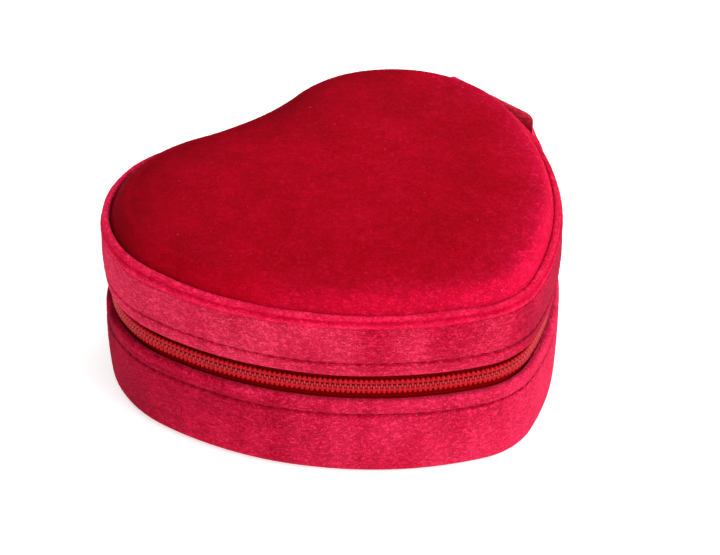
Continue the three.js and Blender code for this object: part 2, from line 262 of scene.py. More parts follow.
# ---- Material nodes ----
class Nodes:
    """A short way to write one material's node tree."""

    def __init__(self, name):
        self.material = bpy.data.materials.new(name)
        self.material.use_nodes = True
        self.tree = self.material.node_tree
        self.shader = self.tree.nodes["Principled BSDF"]

    def add(self, kind, inputs=None, **settings):
        node = self.tree.nodes.new("ShaderNode" + kind)
        for key, value in settings.items():
            setattr(node, key, value)
        for key, value in (inputs or {}).items():
            self.put(node, key, value)
        return node

    def put(self, node, key, value):
        if isinstance(value, bpy.types.NodeSocket):
            self.tree.links.new(value, node.inputs[key])
        else:
            node.inputs[key].default_value = value

    def set(self, **values):
        for key, value in values.items():
            self.put(self.shader, key.replace("_", " "), value)

    def coords(self, scale, kind="Object"):
        """Coordinates that run 1 for each millimetre, times scale."""
        source = self.add("TexCoord").outputs[kind]
        mapping = self.add("Mapping", {"Vector": source, "Scale": tuple(1000 * v for v in scale)})
        return mapping.outputs[0]

    def noise(self, vector, scale, detail=3.0, roughness=0.55, distortion=0.0):
        inputs = {"Vector": vector, "Scale": scale, "Detail": detail, "Roughness": roughness}
        return self.add("TexNoise", {**inputs, "Distortion": distortion}).outputs["Fac"]

    def ramp(self, value, *stops):
        """stops are (place, colour or grey)."""
        node = self.add("ValToRGB", {"Fac": value})
        elements = node.color_ramp.elements
        while len(elements) < len(stops):
            elements.new(0.5)
        for element, (at, colour) in zip(elements, stops):
            element.position = at
            element.color = (colour,) * 3 + (1,) if isinstance(colour, float) else (*colour, 1)
        return node.outputs["Color"]

    def mix(self, a, b, fac, blend="MIX"):
        node = self.add("Mix", data_type="RGBA", blend_type=blend)
        for socket, value in ((node.inputs[0], fac), (node.inputs[6], a), (node.inputs[7], b)):
            if isinstance(value, bpy.types.NodeSocket):
                self.tree.links.new(value, socket)
            else:
                socket.default_value = value if isinstance(value, float) else (*value, 1)
        return node.outputs[2]

    def math(self, operation, a, b=0.0, c=0.0):
        node = self.add("Math", operation=operation)
        for socket, value in zip(node.inputs, (a, b, c)):
            if isinstance(value, bpy.types.NodeSocket):
                self.tree.links.new(value, socket)
            else:
                socket.default_value = value
        return node.outputs[0]

    def bump(self, height, strength, distance, normal=None):
        inputs = {"Height": height, "Strength": strength, "Distance": distance}
        node = self.add("Bump", inputs)
        if normal is not None:
            self.tree.links.new(normal, node.inputs["Normal"])
        return node.outputs[0]


def velvet(name, deep, light, glow, sheen, tint, grain=1.0):
    """Short-pile velvet: patches of brushed pile, a crinkle of pile with paler tips, and a little lint,
    with painted light and shade from a stored value per point: towards the glow colour as a painted sheen
    above 0, towards a darker copy of the deep colour as painted shade below 0.
    """
    n = Nodes(name)
    flat = n.coords((1, 1, 1))
    nap_and_painted_light = n.noise(flat, 0.07, 4.0, 0.6, 0.8)
    strokes = n.noise(n.coords((0.5, 0.5, 0.2)), 1.0, 4.0, 0.6, 0.5)
    crinkle = n.noise(n.coords((0.75, 0.75, 1.5)), 1.1, 3.0, 0.62, 1.3)
    tips = n.noise(flat, 3.4, 2.0, 0.7)
    patches = n.math("ADD", n.math("MULTIPLY", nap_and_painted_light, 0.62), n.math("MULTIPLY", strokes, 0.38))
    colour = n.mix(deep, light, n.ramp(patches, (0.40, 0.0), (0.62, 1.0)))
    grains = n.math("ADD", n.math("MULTIPLY", crinkle, 0.6), n.math("MULTIPLY", tips, 0.4))
    colour = n.mix(colour, n.ramp(grains, (0.36, 1.0 - 0.46 * grain), (0.58, 1.0)), 1.0, "MULTIPLY")
    # Painted light and shade: the stored value per point, mapped from 0 to 1, turns the colour towards the
    # glow colour as a painted sheen where it is high.
    lie_and_light = n.math("MULTIPLY_ADD", n.add("Attribute", attribute_name="nap_and_painted_light").outputs["Fac"], 0.5, 0.5)
    pale = n.ramp(lie_and_light, (0.5, 0.0), (1.0, 1.0))
    tips_and_light = n.math("MULTIPLY_ADD", pale, 1.0, 0.7 * grain)
    tips_and_light = n.math("MULTIPLY", n.ramp(grains, (0.50, 0.0), (0.66, 1.0)), tips_and_light)
    colour = n.mix(colour, glow, n.math("MULTIPLY_ADD", pale, 0.35, tips_and_light))
    # Painted shade: a darker copy of the deep colour where the stored value is low, in stitch grooves,
    # hollows and on sides turned from the light, with some random darker patches.
    pressed = tuple(0.4 * c for c in deep)
    colour = n.mix(colour, pressed, n.ramp(lie_and_light, (0.0, 0.9), (0.5, 0.0)))
    specks = n.add("TexVoronoi", {"Vector": flat, "Scale": 0.22}).outputs["Distance"]
    colour = n.mix(colour, (0.75, 0.10, 0.16), n.ramp(specks, (0.02, 0.5), (0.045, 0.0)))
    n.set(Base_Color=colour, Roughness=0.85)
    n.put(n.shader, "Specular IOR Level", 0.02)
    n.put(n.shader, "Sheen Weight", sheen)
    n.put(n.shader, "Sheen Roughness", 0.35)
    n.put(n.shader, "Sheen Tint", (*tint, 1))
    coarse = n.bump(crinkle, 0.9 * grain, 0.5 * MM)
    n.set(Normal=n.bump(tips, 0.5 * grain, 0.16 * MM, coarse))
    return n.material


def woven_tape(name, colour):
    """Zip tape: fine ribs across a flat weave."""
    n = Nodes(name)
    uv = n.coords((1, 1, 1), "UV")
    ribs = n.add("TexWave", {"Vector": uv, "Scale": 0.75, "Distortion": 0.6, "Detail": 1.0})
    weft = n.add("TexWave", {"Vector": uv, "Scale": 0.6, "Distortion": 0.6}, bands_direction="Y")
    weave = n.math("MULTIPLY", ribs.outputs["Fac"], weft.outputs["Fac"])
    dark = tuple(0.45 * c for c in colour)
    n.set(Base_Color=n.mix(dark, colour, n.ramp(weave, (0.0, 0.0), (0.8, 1.0))), Roughness=0.75)
    n.put(n.shader, "Specular IOR Level", 0.03)
    n.set(Normal=n.bump(weave, 0.8, 0.2 * MM))
    return n.material


def nylon(name, colour, tip):
    """Coil teeth: half-gloss nylon, with a painted highlight in pale pink on the heads of the teeth."""
    n = Nodes(name)
    wear = n.noise(n.coords((1, 1, 1)), 1.1, 3.0)
    colour = n.mix(colour, tip, n.ramp(wear, (0.42, 0.0), (0.75, 1.0)))
    # Painted highlight: a pale pink mixed onto the heads of the teeth from the stored value per point.
    head_highlight = n.add("Attribute", attribute_name="nap_and_painted_light").outputs["Fac"]
    n.set(Base_Color=n.mix(colour, (0.46, 0.065, 0.085), n.math("MULTIPLY", head_highlight, 0.3)))
    n.set(Roughness=n.ramp(wear, (0.3, 0.28), (0.7, 0.40)))
    n.put(n.shader, "Specular IOR Level", 0.13)
    return n.material


def twisted_thread(name, colour):
    n = Nodes(name)
    ply = n.add("TexWave", {"Vector": n.coords((1, 1, 1)), "Scale": 1.4, "Distortion": 1.0},
                bands_direction="DIAGONAL")
    dark = tuple(0.5 * c for c in colour)
    n.set(Base_Color=n.mix(dark, colour, ply.outputs["Fac"]), Roughness=0.6)
    n.put(n.shader, "Specular IOR Level", 0.1)
    n.set(Normal=n.bump(ply.outputs["Fac"], 0.6, 0.1 * MM))
    return n.material


def plated_metal(name):
    """Nickel plate with fine scuffs and a slightly duller, warmer wear."""
    n = Nodes(name)
    scuffs = n.noise(n.coords((2.0, 0.3, 0.3)), 2.0, 5.0, 0.7)
    blotch = n.noise(n.coords((1, 1, 1)), 0.4, 3.0)
    n.set(Base_Color=n.mix((0.62, 0.60, 0.56), (0.80, 0.79, 0.77), blotch), Metallic=1.0)
    n.set(Roughness=n.ramp(scuffs, (0.3, 0.12), (0.8, 0.34)), Normal=n.bump(scuffs, 0.12, 0.02 * MM))
    return n.material


def pressed_card(name):
    n = Nodes(name)
    fibres = n.noise(n.coords((1, 1, 4)), 0.9, 6.0, 0.7)
    n.set(Base_Color=n.mix((0.30, 0.24, 0.17), (0.55, 0.48, 0.38), fibres), Roughness=0.9)
    n.set(Normal=n.bump(fibres, 0.3, 0.1 * MM))
    return n.material


def cream_foam(name):
    n = Nodes(name)
    cells = n.add("TexVoronoi", {"Vector": n.coords((1, 1, 1)), "Scale": 1.8}).outputs["Distance"]
    n.set(Base_Color=n.mix((0.55, 0.50, 0.40), (0.82, 0.78, 0.68), cells), Roughness=0.95)
    n.set(Normal=n.bump(cells, 0.7, 0.3 * MM))
    return n.material


def silvered_glass(name):
    n = Nodes(name)
    haze = n.noise(n.coords((1, 1, 1)), 0.08, 4.0, 0.6)
    n.set(Base_Color=(0.90, 0.92, 0.93, 1), Metallic=1.0, Roughness=n.ramp(haze, (0.4, 0.015), (0.8, 0.06)))
    return n.material


# Each velvet: deep, light and glow colours, how much sheen, its tint, and how strong the crinkle is.
# The top, base, lid, rim and hinge velvets are lit and shaded copies of one cloth: the top is set
# darkest, the bands and rim lighter and the hinge lightest, as painted light for each piece.
TOP_VELVET = velvet("top_velvet", (0.275, 0.0001, 0.0045), (0.34, 0.0002, 0.0075),
                    (0.68, 0.007, 0.062), 0.17, (1.0, 0.006, 0.09), 0.30)
BASE_VELVET = velvet("base_velvet", (0.34, 0.0010, 0.016), (0.46, 0.002, 0.028),
                     (0.72, 0.028, 0.094), 0.40, (1.0, 0.05, 0.16), 0.9)
LID_VELVET = velvet("lid_velvet", (0.36, 0.0010, 0.018), (0.46, 0.0016, 0.029),
                    (0.71, 0.038, 0.098), 0.45, (1.0, 0.06, 0.17), 0.9)
RIM_VELVET = velvet("rim_velvet", (0.49, 0.0010, 0.024), (0.58, 0.002, 0.034),
                    (0.80, 0.024, 0.090), 0.35, (1.0, 0.04, 0.15), 0.8)
HINGE_VELVET_LIT = velvet("hinge_velvet_lit", (0.64, 0.0012, 0.024), (0.76, 0.002, 0.038),
                      (1.0, 0.09, 0.17), 0.5, (1.0, 0.05, 0.16), 0.9)
LINING_VELVET = velvet("lining_velvet", (0.20, 0.001, 0.010), (0.28, 0.002, 0.016),
                       (0.36, 0.006, 0.03), 0.35, (1.0, 0.06, 0.16), 0.6)
ROLL_VELVET = velvet("roll_velvet", (0.26, 0.001, 0.013), (0.36, 0.002, 0.02),
                     (0.48, 0.008, 0.04), 0.45, (1.0, 0.06, 0.16), 0.7)
TAPE = woven_tape("zip_tape_weave", (0.36, 0.0003, 0.0012))
NYLON = nylon("zip_nylon", (0.34, 0.0003, 0.004), (0.43, 0.0008, 0.010))
THREAD = twisted_thread("stitch_thread", (0.24, 0.001, 0.014))
METAL = plated_metal("nickel_plate")
CARD = pressed_card("pressed_card")
FOAM = cream_foam("cream_foam")
MIRROR = silvered_glass("silvered_glass")

# ---- Velvet bands, rim and panels ----
PILE_STEP = 0.45 * MM  # how close the points of a velvet surface are
PILE_LUMP = 0.9 * MM
PILE_HEIGHT = 0.05 * MM
ZIP_LINE = (high("base_zip_coil")[2] + low("lid_zip_coil")[2]) / 2
FLARE = 0.6 * MM  # the base stands out this far past the lid
BAND_BACK = -1.3 * MM
BASE_BAND = low("base_velvet_band")[2], high("base_velvet_band")[2]
LID_BAND = low("lid_velvet_band")[2], high("lid_velvet_band")[2]
WELT = low("lid_rim_welt")[2], high("lid_rim_welt")[2]
UNDER_RIM = 0.9 * MM  # the lid's band runs on this far, under the rim
BASE_STITCH = (low("base_topstitch")[2] + high("base_topstitch")[2]) / 2
LID_STITCH = (low("lid_topstitch")[2] + high("lid_topstitch")[2]) / 2
STITCH_PITCH = 2.7 * MM
STITCH_GROOVE = 0.65 * MM, 0.36 * MM  # depth and half width
FAINT_GROOVE = 0.22 * MM, 0.3 * MM
FAINT_PITCH = 1.3 * MM
FAINT_ABOVE = 1.8 * MM  # from the base's topstitching to the faint row over it


def pile(grid, amount, seed, wave, wrap_rows=True, out=1):
    """Raises the pile of a velvet grid, over slow waves in its padding."""
    height = lumps(grid, PILE_LUMP, seed) * PILE_HEIGHT + lumps(grid, 14 * MM, seed + 3) * wave
    return grid + grid_normals(grid, wrap_rows) * (height * amount * out)[..., None]


def wander(s):
    """How far a row of stitches strays up and down."""
    return 0.12 * MM * np.sin(s / (9 * MM)) * np.sin(s / (23 * MM))


def groove(heights, s, at, size, pitch):
    """How far a row of stitches pulls a band in: a line that is deepest where the needle went through."""
    depth, width = size
    line = np.exp(-(((heights - at) / width) ** 2))
    holes = 0.7 + 0.3 * np.cos(2 * math.pi * s / pitch)
    return -depth * line * holes


def band(name, body, velvet_cloth, face, z0, z1, edges, stitch, faint, painted_side_light, *replaced):
    """A velvet band: rolled edges, a soft bulge in its face and the groove of its topstitching.

    edges holds the radii of the lower and the upper outer edge. stitch and faint are heights of the
    deep row of stitches and of a faint second row, or None. The last tuple sets painted light and shade:
    how pale the band is painted all round, how much paler on the side facing a given way in plan and
    darker on the far side (a negative amount swaps them), and that way, in degrees.
    """
    low_edge, high_edge = edges
    back = BAND_BACK
    painted_all_round, more, azimuth = painted_side_light
    outer = [(back, z1 - 0.3 * MM)]
    outer += corner((face - high_edge, z1 - high_edge), high_edge, 100, 0)
    outer += corner((face - low_edge, z0 + low_edge), low_edge, 0, -90)
    outer += [(back, z0 + 0.05 * MM)]
    profile = respace(outer, 0.3 * MM)
    s = all_round(PILE_STEP)
    grid = ring_grid(profile, s)
    heights, ways = grid[..., 2], np.broadcast_to(s, grid.shape[:2])
    on_face = np.clip((profile[:, 0] - back) / (face - back), 0, 1)[:, None] ** 2
    middle = (heights - z0) / (z1 - z0)
    row = stitch + wander(s)
    press = 0.35 * MM * np.sin(math.pi * np.clip(middle, 0, 1))
    press += groove(heights, ways, row, STITCH_GROOVE, STITCH_PITCH)
    if faint:
        fading = np.clip(lumps(grid, 30 * MM, 9) * 2, 0, 1)
        press += groove(heights, ways, faint, FAINT_GROOVE, FAINT_PITCH) * fading
    beat = np.cos(2 * math.pi * ways / STITCH_PITCH)
    pucker = np.exp(-(((heights - stitch) / (2.2 * MM)) ** 2)) * beat
    press += 0.05 * MM * pucker + lumps(grid, PILE_LUMP, 2) * PILE_HEIGHT
    press += lumps(grid, 17 * MM, 5) * 0.22 * MM
    normals = heart(s)[1]
    patches = lumps(grid * [1, 1, 0.5], 7 * MM, 15)
    # Painted light and shade by side: paler on the side facing the given way in plan, darker on the far
    # side, over random patches.
    nap_and_painted_light = painted_all_round + more * facing(normals, azimuth)[None] + 0.6 * patches
    near_edge = z0 if stitch - z0 < z1 - stitch else z1
    hem = np.exp(-(((heights - near_edge) / (1.5 * MM)) ** 2))
    groove_shade = np.exp(-(((heights - row) / (0.33 * MM)) ** 2))
    breaks = 0.8 + 0.2 * beat + 0.25 * lumps(grid, 4 * MM, 16)
    # A painted sheen along the band's edge nearer its stitching, and painted shade in the stitch groove.
    nap_and_painted_light = nap_and_painted_light + 0.3 * hem - 1.3 * groove_shade * breaks
    grid[..., :2] += normals[None] * (press * on_face)[..., None]
    piece = store_nap_and_painted_light(grid_piece(name, grid), nap_and_painted_light)
    return place(piece, body, "velvet", velvet_cloth, *replaced)


band("base_band", "base", BASE_VELVET, FLARE, *BASE_BAND, (1.8 * MM, 0.8 * MM), BASE_STITCH,
     BASE_STITCH + FAINT_ABOVE, (-0.2, 1.05, 15), "base_velvet_band")
band("lid_band", "lid", LID_VELVET, 0.0, LID_BAND[0], LID_BAND[1] + UNDER_RIM, (0.6 * MM, 0.35 * MM),
     LID_STITCH, None, (0.2, -0.8, 60), "lid_velvet_band")

LEFT = -131  # degrees in plan: the side of the dip's front lobe, where the rim stands highest
LEFT_START, LEFT_END = 33 * MM, 56 * MM  # the rim rises between these, measured that way
RIM_LIFT = 1.1 * MM


def leftness(points):
    """Runs from 0 to 1 towards the lobe where the rim stands highest."""
    angle = math.radians(LEFT)
    along = points[:, 0] * math.cos(angle) + points[:, 1] * math.sin(angle)
    return np.clip((along - LEFT_START) / (LEFT_END - LEFT_START), 0, 1)


def rim():
    """The rim round the top panel: a hem with two ridges and a hollow between them."""
    z0, z1 = WELT
    outer = corner((-0.6 * MM, z0 + 1.15 * MM), 0.75 * MM, -75, 70, 10)
    outer += corner((-1.05 * MM, z1 - 0.75 * MM), 0.75 * MM, -35, 90, 12)
    outer += corner((-1.5 * MM, z1 - 0.4 * MM), 0.4 * MM, 90, 178, 5)
    outer += [(-2.0 * MM, z0 + 0.4 * MM), (-1.0 * MM, z0 + 0.4 * MM)]
    profile = respace(outer + outer[:1], 0.3 * MM)[:-1]
    s = all_round(PILE_STEP)
    grid = ring_grid(profile, s)
    points, normals = heart(s)
    share = np.clip((profile[:, 1] - z0) / (z1 - z0), 0, 1)[:, None]
    waver = 0.25 * MM * lumps(grid, 11 * MM, 17)
    grid[..., 2] += share * (RIM_LIFT * leftness(points)[None] + waver)
    across, rise = profile[:, :1], profile[:, 1:] - z0
    # Painted light and shade on the rim: painted highlights along its ridges, painted shade in the hollow
    # between them and on the side facing 40 degrees in plan, over random patches.
    ridges = np.exp(-(((rise - 1.2 * MM) / (0.5 * MM)) ** 2))
    ridges = ridges + np.exp(-(((across + 1.05 * MM) / (0.8 * MM)) ** 2)) * (share > 0.8)
    hollow = np.exp(-(((rise - 2.05 * MM) / (0.3 * MM)) ** 2)) * (across > -1.2 * MM)
    nap_and_painted_light = 0.75 * ridges - 0.4 * hollow + 0.4 * lumps(grid, 5 * MM, 18)
    nap_and_painted_light -= 0.2 * np.clip(facing(normals, 40), 0, 1)[None]
    grid = pile(grid, 1.3, 4, 0.14 * MM, out=-1)
    piece = store_nap_and_painted_light(grid_piece("rim_welt", grid), nap_and_painted_light)
    return place(piece, "lid", "velvet", RIM_VELVET, "lid_rim_welt")


rim()


PANEL_LIT_WAY = 33  # degrees in plan: the way the padded top's roll faces where it is painted pale; the opposite side is painted dark


def panel(name, edge, z0, z1, roll, crown, step=PILE_STEP, rough=1.0, down=False, soft=0.0):
    """A heart-shaped panel with rolled edges, flat at the back and crowned at the front.

    It rises from z0 at its edge to z1 over the width roll, and by crown more at its middle. down turns
    it over, so that its front faces down. soft is how much wider the roll is on the left side.
    """
    s = all_round(step)
    points, normals = heart(s)
    centre = np.array([-2 * MM, 0.0])
    rows = []
    turn = -1 if down else 1
    base_z, front_z = (z1, z0) if down else (z0, z1)
    rise = abs(z1 - z0)
    nap_and_painted_light = []
    wide = (roll + soft * leftness(points))[:, None]
    # Painted light and shade round the roll: painted pale on the side facing the lit way, painted dark on
    # the opposite side, fading inward over the flat part.
    side = facing(normals, PANEL_LIT_WAY)
    painted_roll_light = 0.2 + np.sign(side) * np.abs(side) ** np.where(side > 0, 0.85, 0.6)
    painted_roll_light *= np.where(painted_roll_light < 0, 1.25, 0.95)
    fade, strength = np.where(painted_roll_light < 0, 6.0, 12.0), np.where(painted_roll_light < 0, 0.9, 0.6)
    for t in np.linspace(0, math.pi / 2, max(4, round(2.0 * roll / step))):
        inset = wide * (1 - math.cos(t))
        nap_and_painted_light.append(painted_roll_light * (0.6 + 0.4 * math.cos(t)))
        rows.append((points + normals * (edge - inset), base_z + turn * rise * math.sin(t)))
    flat = points + normals * (edge - wide)
    shares = np.linspace(1, 0.03, max(4, round(40 * MM / step)))[1:]
    for k in shares:
        rows.append((centre + (flat - centre) * k, front_z + turn * crown * (1 - k**2.2)))
        nap_and_painted_light.append(painted_roll_light * strength * np.exp(-(1 - k) * fade))
    grid = np.zeros((len(rows), len(s), 3))
    for i, (xy, z) in enumerate(rows):
        grid[i, :, :2] = xy
        grid[i, :, 2] = z
    if rough:
        height = lumps(grid, PILE_LUMP, 6) * PILE_HEIGHT + lumps(grid, 16 * MM, 8) * 0.16 * MM
        grid[1:, :, 2] += (height * rough * turn)[1:]
    nap_and_painted_light = np.array(nap_and_painted_light) + 0.15 * lumps(grid, 12 * MM, 19) + 0.12 * lumps(grid, 3 * MM, 21)
    return store_nap_and_painted_light(grid_piece(name, grid, wrap_rows=False, caps=True), nap_and_painted_light)


TOP_EDGE = -1.65 * MM
TOP_ROLL, TOP_CROWN, TOP_SOFT = 3.6 * MM, 0.6 * MM, 1.2 * MM
PILE_ROOM = 0.3 * MM  # left under a pad's full height for its pile and waves
TOP_Z = low("lid_top_velvet")[2], high("lid_top_velvet")[2]
top = panel("top_panel", TOP_EDGE, TOP_Z[0], TOP_Z[1] - PILE_ROOM, TOP_ROLL, TOP_CROWN, soft=TOP_SOFT)
place(top, "lid", "velvet", TOP_VELVET, "lid_top_velvet", "lid_top_foam")

# ---- Stitches ----
STITCH_LENGTH = 1.9 * MM
STITCH_RADIUS = 0.15 * MM
STITCH_SUNK = 0.5 * MM


def capsule_grid(path, radii, sides):
    """A round tube along a path of 3-D points, with its own radius at each point."""
    path = np.array(path, float)
    ahead = np.gradient(path, axis=0)
    ahead /= np.linalg.norm(ahead, axis=1, keepdims=True)
    lead = np.array([0.0, 0.0, 1.0]) if abs(ahead[0][2]) < 0.9 else np.array([1.0, 0.0, 0.0])
    across = np.cross(ahead, lead)
    across /= np.linalg.norm(across, axis=1, keepdims=True)
    over = np.cross(across, ahead)
    turns = np.linspace(0, 2 * math.pi, sides, endpoint=False)
    ring = across[:, None] * np.cos(turns)[None, :, None] + over[:, None] * np.sin(turns)[None, :, None]
    return path[:, None] + ring * np.array(radii)[:, None, None]


def many(name, grids):
    """One piece made of many closed tubes."""
    verts, faces = [], []
    for grid in grids:
        rows, cols = grid.shape[:2]
        start = len(verts)
        verts += [tuple(p) for p in grid.reshape(-1, 3)]
        ends = [tuple(range(cols)), tuple((rows - 1) * cols + j for j in range(cols))]
        faces += [tuple(start + v for v in f) for f in grid_faces(rows, cols, False, True) + ends]
    return make_mesh(name, verts, faces)


def stitches(name, body, face, z, *replaced):
    """A row of topstitches, sunk in its groove, that stops at the cloth hinge."""
    hinge = low("hinge_strip_base_half")[0], high("hinge_strip_base_half")[0]
    first, last = back_place(hinge[0]), back_place(hinge[1]) + ROUND
    grids = []
    for i in range(int((last - first) / STITCH_PITCH)):
        middle = first + (i + 0.5) * STITCH_PITCH
        s = np.linspace(middle - STITCH_LENGTH / 2, middle + STITCH_LENGTH / 2, 7)
        points, normals = heart(s)
        bow = np.sin(np.linspace(0, math.pi, 7))
        offset = face - STITCH_SUNK + 0.2 * MM * bow
        path = np.column_stack([points + normals * offset[:, None], z + wander(s)])
        grids.append(capsule_grid(path, STITCH_RADIUS * (0.45 + 0.55 * bow), 6))
    return place(many(name, grids), body, "thread", THREAD, *replaced)


stitches("base_stitches", "base", FLARE + 0.15 * MM, BASE_STITCH, "base_topstitch")
stitches("lid_stitches", "lid", 0.15 * MM, LID_STITCH, "lid_topstitch")

# ---- Zip ----
TOOTH_PITCH = 1.12 * MM
COIL_FRONT, COIL_BACK = -0.7 * MM, -1.9 * MM
COIL_OUT = (COIL_FRONT + COIL_BACK) / 2
DIP_STOP = low("base_zip_stop_dip_end")[0]
TIP_STOP = high("base_zip_stop_tip_end")[0]
SLIDER_END = high("slider_body")[0] + 0.3 * MM
# Along a tooth: its bead at the tape, its neck and its head.
TOOTH_RADII = np.array([0.30, 0.50, 0.53, 0.46, 0.35, 0.28, 0.26, 0.26, 0.14]) * MM
TOOTH_LIFT = np.array([-0.1, 0.0, 0.05, 0.05, 0.02, 0.12, 0.2, 0.2, 0.1]) * MM
# How strong the painted highlight is along a tooth, from bead to head.
TOOTH_HIGHLIGHT = [0, 0, 0, 0, 0, 0.4, 1.0, 1.0, 1.0]
TOOTH_OVERLAP = 0.3 * MM  # how far a head reaches past the middle of the zip
TOOTH_SIDES = 8


def tooth(s, side, out):
    """One tooth: a bead at the tape, a neck under the sewing and a head that reaches past the middle."""
    (point,), (normal,) = heart([s])
    reach = np.linspace(0, 1, len(TOOTH_RADII))
    far = high("lid_zip_coil")[2] - ZIP_LINE
    z = ZIP_LINE + side * (far - (far + TOOTH_OVERLAP) * reach)
    path = np.column_stack([point + normal * (out + TOOTH_LIFT)[:, None], z])
    grid = capsule_grid(path, TOOTH_RADII, TOOTH_SIDES)
    thin = np.array([-normal[1], normal[0], 0.0])
    squeeze = ((grid - path[:, None]) @ thin)[..., None] * thin
    return grid - squeeze * 0.06


def coil(name, body, side, tip_end, *replaced):
    """A row of teeth, with the cord that runs through them, from the hinge's dip end to the place x."""
    first, last = back_place(DIP_STOP), back_place(tip_end) + ROUND
    count = int((last - first) / TOOTH_PITCH)
    shift = 0.25 * TOOTH_PITCH * side
    grids = [tooth(first + (i + 0.5) * TOOTH_PITCH + shift, side, COIL_OUT) for i in range(count)]
    # Painted highlight on the heads of the teeth, none on the cord.
    head_highlight = np.repeat(TOOTH_HIGHLIGHT, TOOTH_SIDES)
    s = np.linspace(first + TOOTH_PITCH / 2, last - TOOTH_PITCH / 2, 2 * count)
    points, normals = heart(s)
    height = ZIP_LINE + side * 0.95 * MM
    cord = np.column_stack([points + normals * (COIL_OUT - 0.1 * MM), np.full(len(s), height)])
    grids.append(capsule_grid(cord, np.full(len(s), 0.45 * MM), TOOTH_SIDES))
    plain = np.zeros(len(s) * TOOTH_SIDES)
    piece = store_nap_and_painted_light(many(name, grids), np.concatenate([np.tile(head_highlight, count), plain]))
    return place(piece, body, "zip_coil", NYLON, *replaced)


coil("base_teeth", "base", -1, TIP_STOP, "base_zip_coil")
coil("lid_teeth", "lid", 1, SLIDER_END, "lid_zip_coil")


def open_ring(name, profile, first, last, step):
    """A profile run from one place to another round the heart, closed at both ends."""
    s = np.linspace(first, last, round((last - first) / step))
    return grid_piece(name, ring_grid(profile, s), wrap_cols=False, caps=True)


def tape(name, body, node, tip_end):
    z0, z1 = low(node)[2], high(node)[2]
    front, back, turn = -2.1 * MM, -2.5 * MM, 0.15 * MM
    profile = [(front - turn, z0), (front, z0 + turn), (front, z1 - turn), (front - turn, z1)]
    profile += [(back + turn, z1), (back, z1 - turn), (back, z0 + turn), (back + turn, z0)]
    profile = respace(profile + profile[:1], 0.5 * MM)[:-1]
    piece = open_ring(name, profile, back_place(DIP_STOP), back_place(tip_end) + ROUND, 0.8 * MM)
    return place(piece, body, "zip_tape", TAPE, node)


tape("base_tape", "base", "base_zip_tape", TIP_STOP)
tape("lid_tape", "lid", "lid_zip_tape", SLIDER_END)


def stop(name, body, node):
    """An end stop: a small clamp with rounded edges, pressed on the coil."""
    z0, z1 = low(node)[2], high(node)[2]
    a, b = back_place(low(node)[0]), back_place(high(node)[0])
    a, b = min(a, b), max(a, b)
    edge = 0.3 * MM
    profile = corner((COIL_FRONT, z1 - edge), edge, 90, 0, 4)
    profile += corner((COIL_FRONT, z0 + edge), edge, 0, -90, 4)
    profile += corner((COIL_BACK + edge, z0 + edge), edge, -90, -180, 4)
    profile += corner((COIL_BACK + edge, z1 - edge), edge, 180, 90, 4)
    grid = ring_grid(profile, np.linspace(a, b, 9))
    middle = grid.mean(axis=0, keepdims=True)
    pinch = np.sqrt(np.clip(1 - np.abs(np.linspace(-1, 1, 9)) ** 4, 0.3, 1))[None, :, None]
    grid = middle + (grid - middle) * pinch
    return place(grid_piece(name, grid, wrap_cols=False, caps=True), body, "zip_metal", METAL, node)


for body in ("base", "lid"):
    for end in ("dip", "tip"):
        stop(f"{body}_stop_{end}", body, f"{body}_zip_stop_{end}_end")


# ---- Cloth hinge ----
CURL_LENGTH, CURL = 8 * MM, math.radians(62)  # of the end near the point
HINGE_FOLD = 2.2 * MM  # half the height of the part of the real hinge that folds; the strip is not made to fold, and the two points set from this are not used


